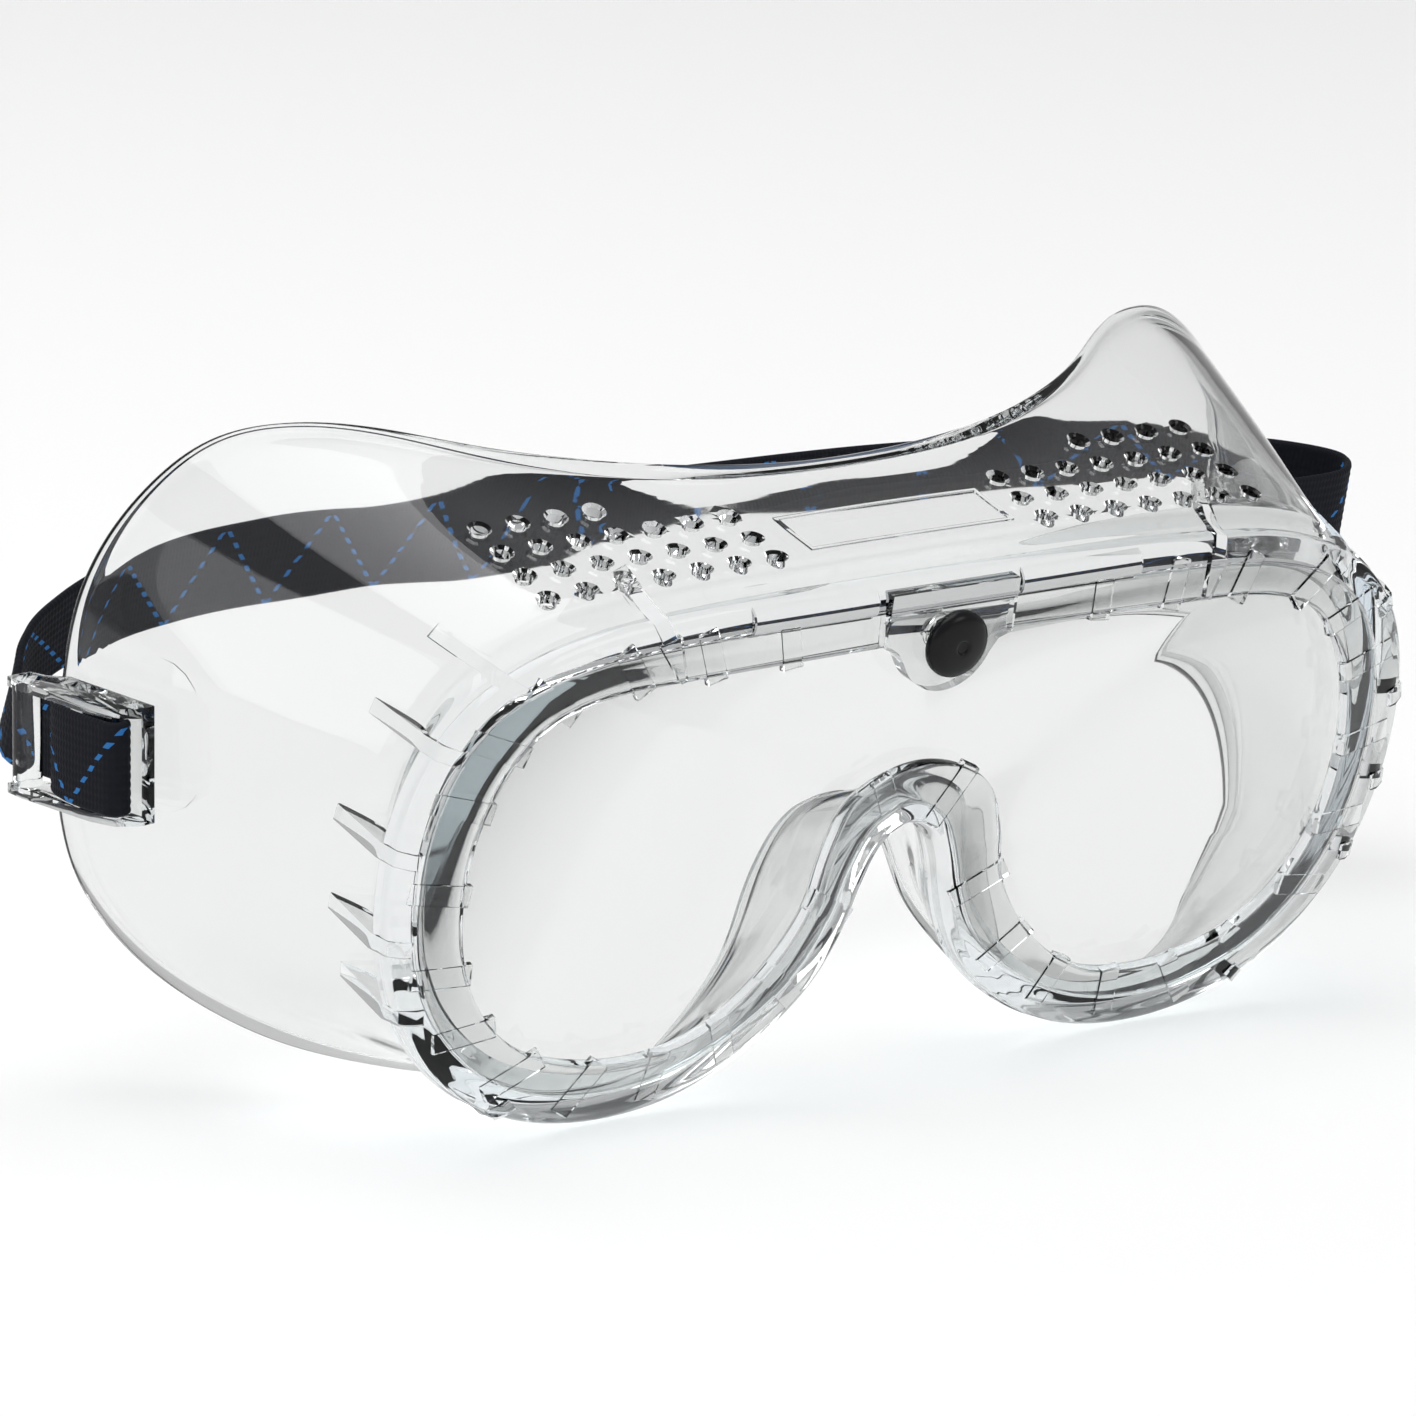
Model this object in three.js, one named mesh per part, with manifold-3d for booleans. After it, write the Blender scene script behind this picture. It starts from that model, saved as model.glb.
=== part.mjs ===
// Safety goggles with a clear soft frame, a flat clear lens, a lens button and an elastic strap.
// Millimetres. The frame is drawn with its face upright: +X to the wearer's left, +Y towards the
// head, +Z up, and the origin in the front row of vents. The whole is then leaned onto its feet.

import * as THREE from 'three';
import { ParametricGeometry } from 'three/addons/geometries/ParametricGeometry.js';
import { mergeVertices } from 'three/addons/utils/BufferGeometryUtils.js';
import Module from 'manifold-3d';

const wasm = await Module();
wasm.setup();

// Driving dimensions.
const AROUND = 112;            // steps round the frame
const WALL = 2.0;              // skirt thickness
const LIP_FRONT = -10.2;       // front of the face rim at the window
const LIP_EDGE = -8.9;         // front of the face rim at its outer edge
const CHAMFER_OUT = 2.3;       // the chamfer round the lip, and the flange behind it
const CHAMFER_BACK = -7.9;
const FLANGE_OUT = 3.0;
const FLANGE_BACK = -5.1;
const LENS_FRONT = -7.3;
const LENS_THICK = 1.8;
const LENS_EDGE_INSET = 2.6;   // from the rim's outer edge to the lens edge
const VENT_PITCH_X = 6.0;
const VENT_PITCH_Y = 5.67;
const VENT_FIRST_X = 22.4;
const VENT_RADIUS = 1.25;
const FIN_WIDTH = 2.2;
const RIB_WIDTH = 2.6;
const BUTTON_Z = -10.2;
const BUTTON_BACK = -11.2;     // flat back of the button's black head
const SOCKET_RADIUS = 2.6;
const HINGE_X = 96.2;          // where the clip axis meets the side pad's face
const HINGE_Y = 44;
const HINGE_Z = -36.3;
const PAD_SLOPE = THREE.MathUtils.degToRad(6.7);   // the pad follows the wall behind the clip
const PAD_SINK = 0.3;
const PAD_RISE = 3;            // the pad's middle stands this far above the hinge
const GROOVE_CLEARANCE = 0.4;   // free space left round the lens in its groove
const PAD_ANGLE = THREE.MathUtils.degToRad(8);
const CLIP_TILT = THREE.MathUtils.degToRad(10);   // the clips hang with their front ends up
const CLIP_GAP = 0.7;
const STRAP_WIDTH = 13;
const STRAP_THICK = 1.1;
const REST_LEAN = THREE.MathUtils.degToRad(13.5);

// Half outlines from the middle of the brow round one eye to the middle of the nose.
// The same index in each list is the same place round the rim.
const RIM_OUTER = [                       // X, Z of the outer edge of the rim's front face
  [0, -3.8], [21, -3.9], [42, -4.4], [59, -6.2], [70.5, -10.8], [77.4, -18], [80.8, -27],
  [81.6, -37], [80, -48], [76, -57.3], [68.5, -66], [57.5, -72], [45, -74], [32.5, -72.3],
  [22, -67.2], [13.6, -60.2], [9.2, -52.6], [7.2, -46], [4.6, -40.4], [0, -37.8],
];
const WINDOW = [                          // X, Z of the lens window
  [0, -10.4], [20.5, -10.6], [40, -10.9], [54.5, -11.6], [63.3, -14.6], [68.9, -20.6],
  [72.3, -29], [73.2, -38], [71.6, -48], [67.4, -56], [60.4, -62.4], [51.5, -65.6],
  [42.5, -66.6], [33.4, -65.3], [26, -61], [20, -54.8], [16.3, -48.3], [14.8, -41],
  [11.2, -33], [0, -28.9],
];
const WALL_START = [                      // X, Z where the skirt leaves the rim
  [0, 0.1], [22.5, 0], [44, -0.6], [59.5, -1.8], [70.4, -6.6], [76.4, -15.2], [79.2, -25.7],
  [79.8, -37], [78.3, -48.2], [74.3, -57.3], [67.3, -65.5], [57.1, -71.3], [44.8, -73.3],
  [32.2, -71.6], [22, -67], [13.8, -60.3], [9.6, -53], [8.2, -45.9], [5.6, -40.2], [0, -36.9],
];
const WALL_MIDDLE = [                     // X, Y, Z half way down the skirt
  [0, 16, 1.7], [23, 16.4, 1.6], [46, 18.5, 1.4], [64.5, 22.5, 1.4], [77, 26.5, -2.5],
  [85.5, 27.5, -11.5], [90, 28, -22], [91, 28, -35], [89.2, 28, -48], [85, 27, -59.5],
  [77.5, 23.5, -68.3], [66.5, 16, -73.4], [54, 10, -75.4], [40.5, 6, -74.8], [28, 4, -70.8],
  [18, 4.5, -62.5], [12.6, 6, -54], [10, 7, -47.3], [6.4, 7.5, -42], [0, 7.5, -39.2],
];
const FACE_EDGE = [                       // X, Y, Z of the edge that meets the face
  [0, 19.5, 3.7], [25, 21, 5.3], [47, 31.5, 5.8], [66, 46, 6.2], [80, 52, 3],
  [91, 53.5, -6.5], [96.8, 53.8, -18], [97.6, 54, -33], [96, 54.7, -48], [92.6, 52, -61],
  [86.5, 43, -70.3], [76, 29.5, -76], [62.5, 19.8, -78.3], [48, 12.5, -79.2], [36, 9.5, -80.3],
  [24, 9, -70.5], [16.5, 11, -62], [12.5, 13, -53], [7.6, 14, -45.5], [0, 14, -42],
];
const HALF_STEPS = RIM_OUTER.length - 1;

// A closed, left-right symmetric curve through a half outline and its mirror image.
function ring(half, y = 0) {
  const right = half.map((p) => (p.length === 2
    ? new THREE.Vector3(p[0], y, p[1])
    : new THREE.Vector3(...p)));
  const left = right.slice(1, -1).reverse().map((p) => new THREE.Vector3(-p.x, p.y, p.z));
  return new THREE.CatmullRomCurve3([...right, ...left], true, 'centripetal');
}

const outerRing = ring(RIM_OUTER);
const windowRing = ring(WINDOW);
const startRing = ring(WALL_START);
const middleRing = ring(WALL_MIDDLE);
const edgeRing = ring(FACE_EDGE);

// Rim frame at place u: the lip's outer edge, the way out of the window, the lip's width, and how
// much of the flange is left, which narrows over the nose.
function rimAt(u) {
  const outer = outerRing.getPoint(u);
  const inner = windowRing.getPoint(u);
  const out = outer.clone().sub(inner);
  const width = out.length();
  const fromBrow = 2 * HALF_STEPS * Math.min(u, 1 - u);
  const flange = 1 - 0.6 * THREE.MathUtils.smoothstep(fromBrow, 13, 17);
  return { outer, inner, out: out.normalize(), width, flange };
}

// A point on the rim, set in from its outer edge and at a given depth.
function rimPoint(rim, inset, y) {
  return rim.outer.clone().addScaledVector(rim.out, -inset).setY(y);
}

// The frame's closed cross-section at place u, from the window forward, out and back again.
function frameSection(u) {
  const rim = rimAt(u);
  const start = startRing.getPoint(u);
  const middle = middleRing.getPoint(u);
  const edge = edgeRing.getPoint(u);
  const flangeBack = rimPoint(rim, -FLANGE_OUT * rim.flange, FLANGE_BACK);
  const grooveFront = LENS_FRONT - GROOVE_CLEARANCE;
  const grooveBack = LENS_FRONT + LENS_THICK + GROOVE_CLEARANCE;
  const grooveInset = LENS_EDGE_INSET - GROOVE_CLEARANCE;
  const inward = (p, t) => p.clone().addScaledVector(rim.out, -t);
  return [
    rimPoint(rim, rim.width, LIP_FRONT),
    rimPoint(rim, 0, LIP_EDGE),
    rimPoint(rim, -CHAMFER_OUT * rim.flange, CHAMFER_BACK),
    flangeBack,
    flangeBack.clone().lerp(start, 0.4).setY(-3.3),
    flangeBack.clone().lerp(start, 0.8).setY(-1.6),
    start.clone().setY(-0.4),
    middle,
    edge,
    inward(edge, WALL),
    inward(middle, WALL),
    inward(start, WALL).setY(-0.2),
    rimPoint(rim, rim.width - 2.5, -3.2),
    rimPoint(rim, rim.width - 2.5, grooveBack),
    rimPoint(rim, grooveInset, grooveBack),
    rimPoint(rim, grooveInset, grooveFront),
    rimPoint(rim, rim.width, grooveFront),
  ];
}

function toSolid(geometry, matrix = new THREE.Matrix4()) {
  const bare = geometry.clone().applyMatrix4(matrix);
  bare.deleteAttribute('normal');
  bare.deleteAttribute('uv');
  const welded = mergeVertices(bare, 1e-4);
  return new wasm.Manifold(new wasm.Mesh({
    numProp: 3,
    vertProperties: new Float32Array(welded.attributes.position.array),
    triVerts: new Uint32Array(welded.index.array),
  }));
}

function toGeometry(solid) {
  const mesh = solid.getMesh();
  const geometry = new THREE.BufferGeometry();
  geometry.setAttribute('position', new THREE.BufferAttribute(mesh.vertProperties, 3));
  geometry.setIndex(new THREE.BufferAttribute(mesh.triVerts, 1));
  geometry.computeVertexNormals();
  return geometry;
}

// A matrix whose X, Y and Z axes and origin are the given vectors.
function placed(x, y, z, origin) {
  return new THREE.Matrix4().makeBasis(x, y, z).setPosition(origin);
}

const X_AXIS = new THREE.Vector3(1, 0, 0);
const Y_AXIS = new THREE.Vector3(0, 1, 0);
const Z_AXIS = new THREE.Vector3(0, 0, 1);

// A cylinder along Y.
function postAlongY(radius, length, x, y, z, sides = 24) {
  return toSolid(new THREE.CylinderGeometry(radius, radius, length, sides),
    new THREE.Matrix4().makeTranslation(x, y, z));
}

// The skirt and face rim in one loop round the window.
function frameShell() {
  const sections = [];
  for (let i = 0; i < AROUND; i += 1) sections.push(frameSection(i / AROUND));
  const count = sections[0].length;
  const surface = (u, v, target) => {
    const i = Math.round(u * AROUND) % AROUND;
    const k = Math.round(v * count) % count;
    target.copy(sections[i][k]);
  };
  return toSolid(new ParametricGeometry(surface, AROUND, count));
}

// Thin fins from the front of the flange to the skirt behind it.
function fins() {
  const places = [2.2, 3.75, 4.9, 6.45, 7.65, 8.7, 10.7];
  const list = [];
  for (const place of places) {
    for (const side of [-1, 1]) {
      const u = (side > 0 ? place : 2 * HALF_STEPS - place) / (2 * HALF_STEPS);
      const rim = rimAt(u);
      const outTo = (ring3) => ring3.getPoint(u).sub(rim.outer).dot(rim.out);
      const start = outTo(startRing);
      const middle = middleRing.getPoint(u);
      const skirtAt = (y) => start + (outTo(middleRing) - start) * (y / middle.y);
      const onBrow = place < 3;
      const back = onBrow ? 0.5 : 7.5;
      const top = onBrow ? skirtAt(back) + 2.2 : skirtAt(back) + 0.4;
      const outline = new THREE.Shape([
        new THREE.Vector2(-0.6, LIP_EDGE - 0.5),
        new THREE.Vector2(0.5, LIP_EDGE - 0.4),
        new THREE.Vector2(CHAMFER_OUT * rim.flange + 0.2, CHAMFER_BACK),
        new THREE.Vector2(FLANGE_OUT * rim.flange + 0.3, FLANGE_BACK),
        new THREE.Vector2(top, back),
        new THREE.Vector2(skirtAt(back) - 1, onBrow ? -1.5 : back),
        new THREE.Vector2(start - 1, 0.6),
        new THREE.Vector2(-2.2, -3),
      ]);
      const plate = new THREE.ExtrudeGeometry(outline, { depth: FIN_WIDTH, bevelEnabled: false });
      plate.translate(0, 0, -FIN_WIDTH / 2);
      const across = rim.out.clone().cross(Y_AXIS);
      list.push(toSolid(plate, placed(rim.out, Y_AXIS, across, rim.outer)));
    }
  }
  return list;
}

// Low radial ribs across the front of the rim.
function lipRibs() {
  const places = [
    1.25, 1.87, 2.6, 3.6, 4.6, 5.6, 6.9, 8.1, 9.2, 10.3, 11.4, 12.5, 13.6, 14.7, 16.2, 18.4,
  ];
  const list = [];
  for (const place of places) {
    for (const side of [-1, 1]) {
      const u = (side > 0 ? place : 2 * HALF_STEPS - place) / (2 * HALF_STEPS);
      const rim = rimAt(u);
      const foot = rimPoint(rim, 0, LIP_EDGE);
      const head = rimPoint(rim, rim.width + 0.5, LIP_FRONT);
      const along = head.clone().sub(foot);
      const length = along.length();
      along.normalize();
      const across = along.clone().cross(Y_AXIS).normalize();
      const inward = across.clone().cross(along);
      const centre = foot.clone().lerp(head, 0.5).addScaledVector(inward, 0.6);
      const bar = new THREE.BoxGeometry(RIB_WIDTH, length, 1.8);
      list.push(toSolid(bar, placed(across, along, inward, centre)));
    }
  }
  return list;
}

// Rolled bars on the brow edge of the rim, and the lug between them that takes the button.
function browDetails() {
  const list = [];
  for (const side of [-1, 1]) {
    const roll = new THREE.CylinderGeometry(2.3, 2.3, 20, 16);
    roll.rotateZ(Math.PI / 2);
    list.push(toSolid(roll, new THREE.Matrix4().makeTranslation(side * 22, -7.4, -4.4)));
  }
  const lug = new THREE.Shape();
  lug.moveTo(-10.5, -2.6);
  lug.lineTo(-10.5, -10.4);
  lug.quadraticCurveTo(-8, -11, -7, -13.2);
  lug.absarc(0, BUTTON_Z, 7.6, Math.PI * 1.13, Math.PI * 1.87, false);
  lug.quadraticCurveTo(8, -11, 10.5, -10.4);
  lug.lineTo(10.5, -2.6);
  const plate = new THREE.ExtrudeGeometry(lug, { depth: 2.9, bevelEnabled: false, curveSegments: 8 });
  const flip = placed(X_AXIS, Z_AXIS, Y_AXIS.clone().negate(), new THREE.Vector3(0, -7.6, 0));
  list.push(toSolid(plate, flip));
  return list;
}

// Rows of round vents through the brow on both sides, full rows in front and a short one behind.
function vents() {
  const list = [];
  for (let row = 0; row < 4; row += 1) {
    for (let i = row < 3 ? 0 : 3; i < 7; i += 1) {
      for (const side of [-1, 1]) {
        const x = side * (VENT_FIRST_X + VENT_PITCH_X * i);
        const y = VENT_PITCH_Y * row + 0.00021 * x * x + 0.6;
        const drill = new THREE.CylinderGeometry(VENT_RADIUS, VENT_RADIUS, 10, 8);
        drill.rotateX(Math.PI / 2);
        list.push(toSolid(drill, new THREE.Matrix4().makeTranslation(x, y, 0)));
      }
    }
  }
  return list;
}

// The local directions of one clip: back along the strap, up, and out of the side pad's face.
function padAxes(side) {
  const out = new THREE.Vector3(side * Math.cos(PAD_ANGLE), -Math.sin(PAD_ANGLE), 0);
  const back = new THREE.Vector3(side * Math.sin(PAD_ANGLE), Math.cos(PAD_ANGLE), 0)
    .applyAxisAngle(out, -side * CLIP_TILT);
  const up = Z_AXIS.clone().applyAxisAngle(out, -side * CLIP_TILT);
  const hinge = new THREE.Vector3(side * HINGE_X, HINGE_Y, HINGE_Z);
  return { back, up, out, hinge };
}

// A shape that is the same upside down, drawn with X back along the pad, Y up and Z out of it.
function onPad(geometry, side, rise = 0) {
  const { back, up, out, hinge } = padAxes(side);
  const origin = hinge.clone().addScaledVector(up, rise);
  return toSolid(geometry, placed(back, up.multiplyScalar(side), out, origin));
}

// A disc on the pad's axis, between two heights above its face.
function discOnPad(radius, from, to, sides = 20) {
  const disc = new THREE.CylinderGeometry(radius, radius, to - from, sides);
  disc.rotateX(Math.PI / 2);
  disc.translate(0, 0, (from + to) / 2);
  return disc;
}

function roundedOutline(x0, x1, halfHeight, corner) {
  const shape = new THREE.Shape();
  shape.moveTo(x0 + corner, -halfHeight);
  shape.lineTo(x1 - corner, -halfHeight);
  shape.quadraticCurveTo(x1, -halfHeight, x1, -halfHeight + corner);
  shape.lineTo(x1, halfHeight - corner);
  shape.quadraticCurveTo(x1, halfHeight, x1 - corner, halfHeight);
  shape.lineTo(x0 + corner, halfHeight);
  shape.quadraticCurveTo(x0, halfHeight, x0, halfHeight - corner);
  shape.lineTo(x0, -halfHeight + corner);
  shape.quadraticCurveTo(x0, -halfHeight, x0 + corner, -halfHeight);
  return shape;
}

function roundedPlate(x0, x1, halfHeight, corner, from, to) {
  const options = { depth: to - from, bevelEnabled: false, curveSegments: 4 };
  const shape = roundedOutline(x0, x1, halfHeight, corner);
  return new THREE.ExtrudeGeometry(shape, options).translate(0, 0, from);
}

// The raised pad and the headed stud that a strap clip turns on, moulded with the frame.
function sidePads() {
  const list = [];
  for (const side of [-1, 1]) {
    const pad = new THREE.ExtrudeGeometry(roundedOutline(-14, 5, 8, 5.5), {
      depth: 0.7, bevelThickness: 0.8, bevelSize: 2, bevelSegments: 1, curveSegments: 6,
    }).translate(0, 0, -PAD_SINK - 1.5).rotateY(-PAD_SLOPE);
    list.push(onPad(pad, side, PAD_RISE));
    list.push(onPad(discOnPad(2.2, -1, 2.2), side));
    list.push(onPad(discOnPad(3.3, 1.9, 2.6), side));
  }
  return list;
}

function buildFrame() {
  let body = frameShell();
  for (const piece of [...fins(), ...lipRibs(), ...browDetails(), ...sidePads()]) {
    body = body.add(piece);
  }
  for (const hole of vents()) body = body.subtract(hole);
  body = body.subtract(postAlongY(SOCKET_RADIUS, 4, 0, -9.2, BUTTON_Z));
  return body.subtract(lensSolid(GROOVE_CLEARANCE));
}

// The lens blank: the rim's outer edge set in, or the slightly larger space that holds it.
function lensSolid(clearance) {
  const points = [];
  for (let i = 0; i < AROUND; i += 1) {
    const p = rimPoint(rimAt(i / AROUND), LENS_EDGE_INSET - clearance, 0);
    points.push(new THREE.Vector2(p.x, p.z));
  }
  const outline = new THREE.Shape(points);
  const depth = LENS_THICK + 2 * clearance;
  const blank = new THREE.ExtrudeGeometry(outline, { depth, bevelEnabled: false });
  const rear = new THREE.Vector3(0, LENS_FRONT - clearance + depth, 0);
  return toSolid(blank, placed(X_AXIS, Z_AXIS, Y_AXIS.clone().negate(), rear));
}

function buildLens() {
  return lensSolid(0).subtract(postAlongY(SOCKET_RADIUS, 4, 0, LENS_FRONT, BUTTON_Z));
}

// The black head of the lens button, domed with a small dimple.
function buildButtonHead() {
  const profile = [
    [0, 0], [4.4, 0], [4.85, 0.5], [4.85, 1.2], [4.2, 1.9], [2.4, 2.35], [0.8, 2.5], [0, 2.1],
  ];
  const head = new THREE.LatheGeometry(profile.map((p) => new THREE.Vector2(...p)), 32);
  const turn = placed(X_AXIS, Y_AXIS.clone().negate(), Z_AXIS.clone().negate(),
    new THREE.Vector3(0, BUTTON_BACK, BUTTON_Z));
  const socket = postAlongY(1.5, 1.4, 0, BUTTON_BACK - 0.2, BUTTON_Z, 16);
  return toSolid(head, turn).subtract(socket);
}

// The clear stud of the button: its shank runs through the lug and the lens.
function buildButtonStud() {
  const shank = postAlongY(2.2, 7.3, 0, BUTTON_BACK + 4.05, BUTTON_Z, 24);
  return shank.add(postAlongY(1.2, 1.2, 0, BUTTON_BACK + 0.1, BUTTON_Z, 16));
}

// A clear strap clip: a plate on the stud, two side rails, a front bar, the bar that the strap
// folds round, and a thick rear bar.
function buildClip(side) {
  let clip = onPad(roundedPlate(-9.6, 4.6, 7.6, 1.5, CLIP_GAP, 2.9), side);
  clip = clip.subtract(onPad(discOnPad(2.7, 0, 3), side));
  clip = clip.subtract(onPad(discOnPad(3.7, 1.6, 3), side));
  const rail = new THREE.Shape([
    [-11.5, CLIP_GAP], [5.8, CLIP_GAP], [8.4, 2.7], [11.2, 3.4], [11.5, 7],
    [8.4, 7.3], [-5.5, 6.9], [-9.4, 5.8], [-11.5, 2.9],
  ].map((p) => new THREE.Vector2(...p)));
  for (const level of [-8.1, 6.75]) {
    const bar = new THREE.ExtrudeGeometry(rail, { depth: 1.35, bevelEnabled: false });
    bar.rotateX(Math.PI / 2);
    bar.translate(0, level + 1.35, 0);
    clip = clip.add(onPad(bar, side));
  }
  const front = new THREE.BoxGeometry(2.4, 15.2, 2.2).translate(-10.3, 0, CLIP_GAP + 1.1);
  const middle = new THREE.BoxGeometry(2.0, 15, 1.1).translate(-8.2, 0, 5.3);
  const rear = new THREE.CylinderGeometry(2.05, 2.05, 15.2, 14).translate(9.5, 0, 5.2);
  for (const bar of [front, middle, rear]) clip = clip.add(onPad(bar, side));
  return clip;
}

// The strap's centre line with its way up. Each end folds round its clip's middle bar; behind the
// goggles it closes in one loop, higher on the -X side and slacker on the +X side.
function strapRoute() {
  const clipPart = [[-0.8, 3.75], [-8.8, 3.75]];
  for (let i = 1; i <= 5; i += 1) {
    const turn = Math.PI * (i / 6);
    clipPart.push([-8.9 - 1.55 * Math.sin(turn), 5.3 - 1.55 * Math.cos(turn)]);
  }
  clipPart.push([-8.8, 6.85], [-0.5, 6.7], [3.6, 5.35], [5.6, 3.2], [7.6, 2.1], [12.4, 1.9]);
  const held = (side) => clipPart.map(([a, o]) => {
    const { back, up, out, hinge } = padAxes(side);
    return { up, at: hinge.clone().addScaledVector(back, a).addScaledVector(out, o) };
  });
  const loop = new THREE.CatmullRomCurve3([
    [-100.0, 60.8, -39.1], [-98.2, 64.2, -37.4], [-94.5, 67.5, -35.3], [-88, 70.6, -33.3],
    [-79, 73.6, -31.8], [-65, 77, -31.4], [-50, 80, -32.2], [-25, 83.5, -34], [0, 86, -35.6],
    [30, 87.8, -37], [60, 88, -38], [90, 86, -39.2], [115, 81, -40.3], [129, 76, -41],
    [135, 70, -41.2], [132, 65.2, -41], [121, 63.2, -40.5], [109.5, 63.4, -39.9],
    [102.9, 61.3, -39.5],
  ].map((p) => new THREE.Vector3(...p)), false, 'centripetal');
  const ends = [held(-1), held(1).reverse()];
  const steps = 60;
  const free = loop.getPoints(steps).map((at, i) => {
    const t = i / steps;
    const twist = THREE.MathUtils.smoothstep(t, 0, 0.12);
    const untwist = THREE.MathUtils.smoothstep(t, 0.88, 1);
    const up = ends[0][0].up.clone().lerp(Z_AXIS, twist).lerp(ends[1][0].up, untwist);
    return { at, up: up.normalize() };
  });
  return [...ends[0], ...free, ...ends[1]];
}

// A flat band along the route, with square ends.
function buildStrap() {
  const route = strapRoute();
  const corners = [[1, 1], [1, -1], [-1, -1], [-1, 1]];
  const positions = [];
  const index = [];
  route.forEach(({ at, up }, i) => {
    const before = route[Math.max(0, i - 1)].at;
    const after = route[Math.min(route.length - 1, i + 1)].at;
    const along = after.clone().sub(before).normalize();
    const face = along.clone().cross(up).normalize();
    const rise = face.clone().cross(along);
    for (const [f, r] of corners) {
      const p = at.clone()
        .addScaledVector(face, f * STRAP_THICK / 2)
        .addScaledVector(rise, r * STRAP_WIDTH / 2);
      positions.push(p.x, p.y, p.z);
    }
    if (i === 0) return;
    for (let k = 0; k < 4; k += 1) {
      const a = 4 * (i - 1) + k;
      const b = 4 * (i - 1) + ((k + 1) % 4);
      index.push(a, b, b + 4, a, b + 4, a + 4);
    }
  });
  const last = positions.length / 3 - 4;
  index.push(0, 2, 1, 0, 3, 2, last, last + 1, last + 2, last, last + 2, last + 3);
  const band = new THREE.BufferGeometry();
  band.setAttribute('position', new THREE.Float32BufferAttribute(positions, 3));
  band.setIndex(index);
  return toSolid(band);
}

function piece(name, solid, colour, roughness) {
  const material = new THREE.MeshStandardMaterial({ color: colour, roughness, metalness: 0 });
  const mesh = new THREE.Mesh(toGeometry(solid), material);
  mesh.name = name;
  return mesh;
}

const goggles = new THREE.Group();
goggles.add(piece('frame_body', buildFrame(), '#e6eaeb', 0.12));
goggles.add(piece('lens', buildLens(), '#eef2f3', 0.04));
goggles.add(piece('button_head', buildButtonHead(), '#0b0b0c', 0.35));
goggles.add(piece('button_stud', buildButtonStud(), '#e4e8ea', 0.1));
goggles.add(piece('clip_left', buildClip(1), '#dfe3e5', 0.08));
goggles.add(piece('clip_right', buildClip(-1), '#dfe3e5', 0.08));
goggles.add(piece('strap', buildStrap(), '#0c0f16', 0.85));

// The goggles rest on the front of the rim and on the cheek edge behind it.
goggles.rotation.x = REST_LEAN;
goggles.updateMatrixWorld(true);
const bounds = new THREE.Box3().setFromObject(goggles, true);
goggles.position.set(
  -(bounds.min.x + bounds.max.x) / 2,
  -(bounds.min.y + bounds.max.y) / 2,
  -bounds.min.z,
);

const row = new THREE.Group();
row.add(goggles);
export default row;
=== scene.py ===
# Clear safety goggles: a soft moulded frame, a flat lens, a push button and an elastic strap.
# The pieces are drawn in millimetres with the face rim upright: +X to the wearer's left, +Y to the
# head, +Z up. Each is then leaned onto its resting edges.

import math

import bmesh
import bpy
from mathutils import Matrix, Vector
from mathutils.bvhtree import BVHTree


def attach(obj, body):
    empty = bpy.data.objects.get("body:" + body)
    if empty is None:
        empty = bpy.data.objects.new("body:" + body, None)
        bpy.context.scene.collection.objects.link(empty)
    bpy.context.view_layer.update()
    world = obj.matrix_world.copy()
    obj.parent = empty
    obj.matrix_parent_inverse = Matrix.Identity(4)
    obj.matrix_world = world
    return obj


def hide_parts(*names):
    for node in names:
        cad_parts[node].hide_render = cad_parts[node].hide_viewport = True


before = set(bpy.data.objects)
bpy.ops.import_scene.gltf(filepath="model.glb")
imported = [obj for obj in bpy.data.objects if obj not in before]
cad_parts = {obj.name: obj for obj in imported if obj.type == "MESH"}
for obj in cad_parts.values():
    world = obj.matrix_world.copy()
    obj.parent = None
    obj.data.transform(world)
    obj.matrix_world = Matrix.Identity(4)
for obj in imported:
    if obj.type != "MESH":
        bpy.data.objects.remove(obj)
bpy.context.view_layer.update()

# View: a long lens from the front right of the wearer, a little above the brow.
camera_data = bpy.data.cameras.new("view_camera")
camera_data.lens = 241.3
camera_data.sensor_width = 36.0
camera = bpy.data.objects.new("view_camera", camera_data)
bpy.context.scene.collection.objects.link(camera)
camera.location = (-0.75336, -1.04004, 0.34451)
aim = Vector((-0.04589, -0.03777, 0.05595)) - camera.location
camera.rotation_euler = aim.to_track_quat("-Z", "Y").to_euler()
bpy.context.scene.camera = camera
bpy.context.scene.view_settings.view_transform = "Standard"


# Studio: a plain white floor that sweeps up behind, with soft panels above and at the sides.
def lit_panel(name, place, target, width, height, watts, colour=(1.0, 1.0, 1.0)):
    data = bpy.data.lights.new(name, "AREA")
    data.shape = "RECTANGLE"
    data.size = width
    data.size_y = height
    data.energy = watts
    data.color = colour
    panel = bpy.data.objects.new(name, data)
    bpy.context.scene.collection.objects.link(panel)
    panel.location = place
    panel.rotation_euler = (Vector(target) - Vector(place)).to_track_quat("-Z", "Y").to_euler()
    return panel


def shader_nodes(name):
    material = bpy.data.materials.new(name)
    material.use_nodes = True
    nodes = material.node_tree.nodes
    surface = nodes["Principled BSDF"]
    return material, nodes, material.node_tree.links, surface


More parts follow.
